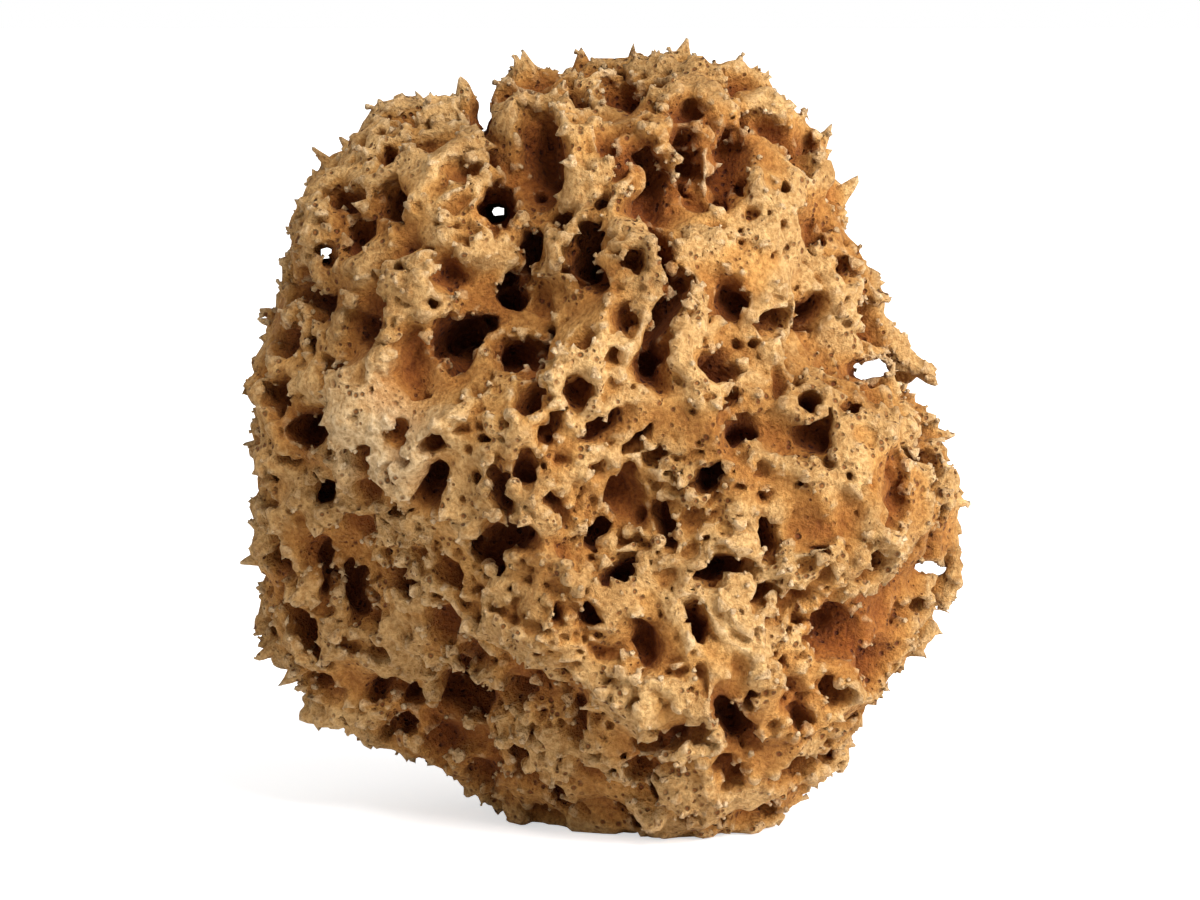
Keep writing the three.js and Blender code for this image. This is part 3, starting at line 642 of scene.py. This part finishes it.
# One stretch of ridges on the left is paler.
pale_patch_distance = node("ShaderNodeVectorMath", operation="DISTANCE")
pale_patch_distance.inputs[1].default_value = (-0.043, -0.046, 0.078)
link(where, pale_patch_distance.inputs[0])
pale = ramp(pale_patch_distance.outputs["Value"], (0.006, (0.5, 0.5, 0.5)), (0.017, BLACK))
pale = mix("MULTIPLY", 1.0, pale, ramp(pitted, (0.36, WHITE), (0.56, BLACK)))
colour = mix("MIX", pale, colour, (0.80, 0.67, 0.47))
patches = ramp(noise(45.0, 3.0), (0.36, (0.79, 0.68, 0.52)), (0.64, (1.15, 1.12, 1.06)))
colour = mix("MULTIPLY", 1.0, colour, patches)

# Fine pores of mixed sizes, in clusters, smaller than the carved ones, each painted dark as the shade
# down a pinhole, and a fine grain.
pores = node("ShaderNodeTexVoronoi")
pores.inputs["Scale"].default_value = 720.0
link(where, pores.inputs["Vector"])
pore_size = node("ShaderNodeSeparateColor")
link(pores.outputs["Color"], pore_size.inputs[0])
off_pore = node("ShaderNodeMath", operation="DIVIDE")
link(pores.outputs["Distance"], off_pore.inputs[0])
link(pore_size.outputs["Red"], off_pore.inputs[1])
crowd = ramp(noise(110.0, 2.0), (0.43, BLACK), (0.54, WHITE))
pore = mix("MULTIPLY", 1.0, ramp(off_pore.outputs[0], (0.26, WHITE), (0.54, BLACK)), crowd)
# Painted shade: each pore is darkened as the inside of a pinhole would be.
colour = mix("MULTIPLY", pore, colour, (0.30, 0.19, 0.10))
grain = noise(1000.0, 6.0)
grain_tint = ramp(grain, (0.36, (0.70, 0.58, 0.44)), (0.64, (1.19, 1.19, 1.19)))
colour = mix("MULTIPLY", 1.0, colour, grain_tint)
link(colour, surface.inputs["Base Color"])
bump = node("ShaderNodeBump")
bump.inputs["Strength"].default_value = 1.0
bump.inputs["Distance"].default_value = 0.0022
link(mix("MIX", pore, grain, BLACK), bump.inputs["Height"])
link(bump.outputs["Normal"], surface.inputs["Normal"])

skin.materials.clear()
skin.materials.append(fibre)
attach(skeleton, "root")
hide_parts("sponge")

# The fibre tips
# The fibres' ends, drawn together into sharp points along every rim, finer than the skin's cells.
# Each is a tapering point with a wide hollowed foot, rooted in the skeleton, and all are one mesh.
POINT_SIDES = 5
POINT_RINGS = ((-0.5, 0.42), (0.1, 0.3), (0.6, 0.17), (1.1, 0.08))  # mm, height and radius
POINT_TIP = (0.00025, 0, 0.0018)  # m, off to one side, so that the point is curved
RING_SHIFT = 0.00006  # m, how far a ring lies to that side for each mm of its height
point_form = bmesh.new()
rings = []
for height, radius in POINT_RINGS:
    ring = bmesh.ops.create_circle(point_form, segments=POINT_SIDES, radius=radius / 1000)["verts"]
    bmesh.ops.translate(point_form, vec=(RING_SHIFT * height, 0, height / 1000), verts=ring)
    rings.append(ring)
point_tip = point_form.verts.new(POINT_TIP)
for k in range(POINT_SIDES):
    for below, above in zip(rings, rings[1:]):
        point_form.faces.new((below[k - 1], below[k], above[k], above[k - 1]))
    point_form.faces.new((rings[-1][k - 1], rings[-1][k], point_tip))
point_form.faces.new(rings[0][::-1])
point_mesh = bpy.data.meshes.new("fibre point")
point_form.to_mesh(point_mesh)
point_form.free()
point_mesh.shade_smooth()
fibre_point = bpy.data.objects.new("fibre point", point_mesh)

# They stand along the sharp rims only, none of them where the sponge meets the ground, and each
# leans its own way and has its own length.
tree, mesh_in, mesh_out = geometry_tree("fibre tips")
place = tree.nodes.new("GeometryNodeInputPosition")
place_parts = tree.nodes.new("ShaderNodeSeparateXYZ")
off_ground = tree.nodes.new("ShaderNodeMapRange")
off_ground.inputs["From Min"].default_value = 0.001
off_ground.inputs["From Max"].default_value = 0.003
rim_value = tree.nodes.new("GeometryNodeInputNamedAttribute")
rim_value.data_type = "FLOAT"
rim_value.inputs["Name"].default_value = "rim"
on_rim = tree.nodes.new("ShaderNodeMapRange")
on_rim.inputs["From Min"].default_value = 0.38
on_rim.inputs["From Max"].default_value = 0.26
density = tree.nodes.new("ShaderNodeMath")
density.operation = "MULTIPLY"
scatter = tree.nodes.new("GeometryNodeDistributePointsOnFaces")
scatter.distribute_method = "POISSON"
scatter.inputs["Distance Min"].default_value = 0.0015
scatter.inputs["Density Max"].default_value = 8e5
scatter.inputs["Seed"].default_value = 3
swing = tree.nodes.new("FunctionNodeRandomValue")
swing.data_type = "FLOAT_VECTOR"
swing.inputs["Min"].default_value = (-0.6, -0.6, -0.6)
swing.inputs["Max"].default_value = (0.6, 0.6, 0.6)
leaning = tree.nodes.new("ShaderNodeVectorMath")
align = tree.nodes.new("FunctionNodeAlignRotationToVector")
align.axis = "Z"
chance = tree.nodes.new("FunctionNodeRandomValue")
chance.inputs[2].default_value = 0.75
chance.inputs[3].default_value = 1.2
length = tree.nodes.new("ShaderNodeMath")
length.operation = "POWER"
length.inputs[1].default_value = 2.6
one_point = tree.nodes.new("GeometryNodeObjectInfo")
one_point.inputs["Object"].default_value = fibre_point
plant = tree.nodes.new("GeometryNodeInstanceOnPoints")
real = tree.nodes.new("GeometryNodeRealizeInstances")
for a, b in (
    (place.outputs[0], place_parts.inputs[0]),
    (place_parts.outputs["Z"], off_ground.inputs["Value"]),
    (rim_value.outputs["Attribute"], on_rim.inputs["Value"]),
    (off_ground.outputs["Result"], density.inputs[0]),
    (on_rim.outputs["Result"], density.inputs[1]),
    (mesh_in.outputs[0], scatter.inputs["Mesh"]),
    (density.outputs[0], scatter.inputs["Density Factor"]),
    (scatter.outputs["Normal"], leaning.inputs[0]),
    (swing.outputs["Value"], leaning.inputs[1]),
    (leaning.outputs[0], align.inputs["Vector"]),
    (chance.outputs[1], length.inputs[0]),
    (scatter.outputs["Points"], plant.inputs["Points"]),
    (one_point.outputs["Geometry"], plant.inputs["Instance"]),
    (align.outputs["Rotation"], plant.inputs["Rotation"]),
    (length.outputs[0], plant.inputs["Scale"]),
    (plant.outputs["Instances"], real.inputs["Geometry"]),
    (real.outputs["Geometry"], mesh_out.inputs[0]),
):
    tree.links.new(a, b)
planted = bpy.data.objects.new("planted tips", skin)
bpy.context.scene.collection.objects.link(planted)
planted.modifiers.new("fibre tips", "NODES").node_group = tree
view = bpy.context.evaluated_depsgraph_get()
tips_mesh = bpy.data.meshes.new_from_object(planted.evaluated_get(view))
bpy.data.objects.remove(planted)
# Their crowding is read afresh, because the values that come over from the skin are its own.
carried_over = [a.name for a in tips_mesh.attributes if a.name in ("pitted", "rim", "sunk")]
for name in carried_over:
    tips_mesh.attributes.remove(tips_mesh.attributes[name])
note_crowding(tips_mesh)
tips_mesh.materials.clear()
tips_mesh.materials.append(fibre)
tips = bpy.data.objects.new("fibre_tips", tips_mesh)
bpy.context.scene.collection.objects.link(tips)
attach(tips, "root")

# The studio
# A plain pale floor that looks almost white, a white room that lights the sponge softly from all
# round, one broad soft light high in front and a softer one on the right.
bpy.ops.mesh.primitive_plane_add(size=60, location=(0, 0, -0.0002))
floor = bpy.context.object
floor.name = "floor"
floor_look = bpy.data.materials.new("floor")
floor_look.use_nodes = True
floor_surface = floor_look.node_tree.nodes["Principled BSDF"]
floor_surface.inputs["Base Color"].default_value = (0.92, 0.92, 0.92, 1)
floor_surface.inputs["Roughness"].default_value = 0.9
floor_surface.inputs["Emission Color"].default_value = (1, 1, 1, 1)
floor_seen = floor_look.node_tree.nodes.new("ShaderNodeLightPath").outputs["Is Camera Ray"]
floor_glow = floor_look.node_tree.nodes.new("ShaderNodeMath")
floor_glow.operation = "MULTIPLY"
floor_glow.inputs[1].default_value = 0.6
floor_look.node_tree.links.new(floor_seen, floor_glow.inputs[0])
floor_look.node_tree.links.new(floor_glow.outputs[0], floor_surface.inputs["Emission Strength"])
floor.data.materials.append(floor_look)

world = bpy.data.worlds.new("studio")
world.use_nodes = True
room = world.node_tree.nodes["Background"]
room.inputs["Color"].default_value = (1, 1, 1, 1)
room_seen = world.node_tree.nodes.new("ShaderNodeLightPath").outputs["Is Camera Ray"]
room_glow = world.node_tree.nodes.new("ShaderNodeMapRange")
room_glow.inputs["To Min"].default_value = 0.52  # as the room lights the sponge
room_glow.inputs["To Max"].default_value = 1.0  # as the room itself is seen
world.node_tree.links.new(room_seen, room_glow.inputs["Value"])
world.node_tree.links.new(room_glow.outputs["Result"], room.inputs["Strength"])
bpy.context.scene.world = world
bpy.context.scene.view_settings.view_transform = "Standard"

key_light = bpy.data.lights.new("key", "SUN")
key_light.energy = 2.85
key_light.angle = 0.4
side_light = bpy.data.lights.new("side", "AREA")
side_light.energy = 8.0
side_light.size = 0.5
for light, at in (
    (key_light, Vector((0.46, -0.86, 1.0))),
    (side_light, Vector((0.7, -0.4, 0.3))),
):
    lamp = bpy.data.objects.new(light.name, light)
    bpy.context.scene.collection.objects.link(lamp)
    lamp.location = at
    lamp.rotation_euler = (Vector((0, 0, 0.08)) - at).to_track_quat("-Z", "Y").to_euler()

camera = bpy.data.cameras.new("camera")
camera.lens = 36 * 800 / 228  # frames 228 mm at 800 mm away on the sensor's 36 mm
camera.clip_start = 0.01
camera.clip_end = 50
viewer = bpy.data.objects.new("camera", camera)
bpy.context.scene.collection.objects.link(viewer)
viewer.location = EYE / 1000
aim = Vector((-0.00085, -0.0005, 0.0711))
viewer.rotation_euler = (aim - viewer.location).to_track_quat("-Z", "Y").to_euler()
bpy.context.scene.camera = viewer
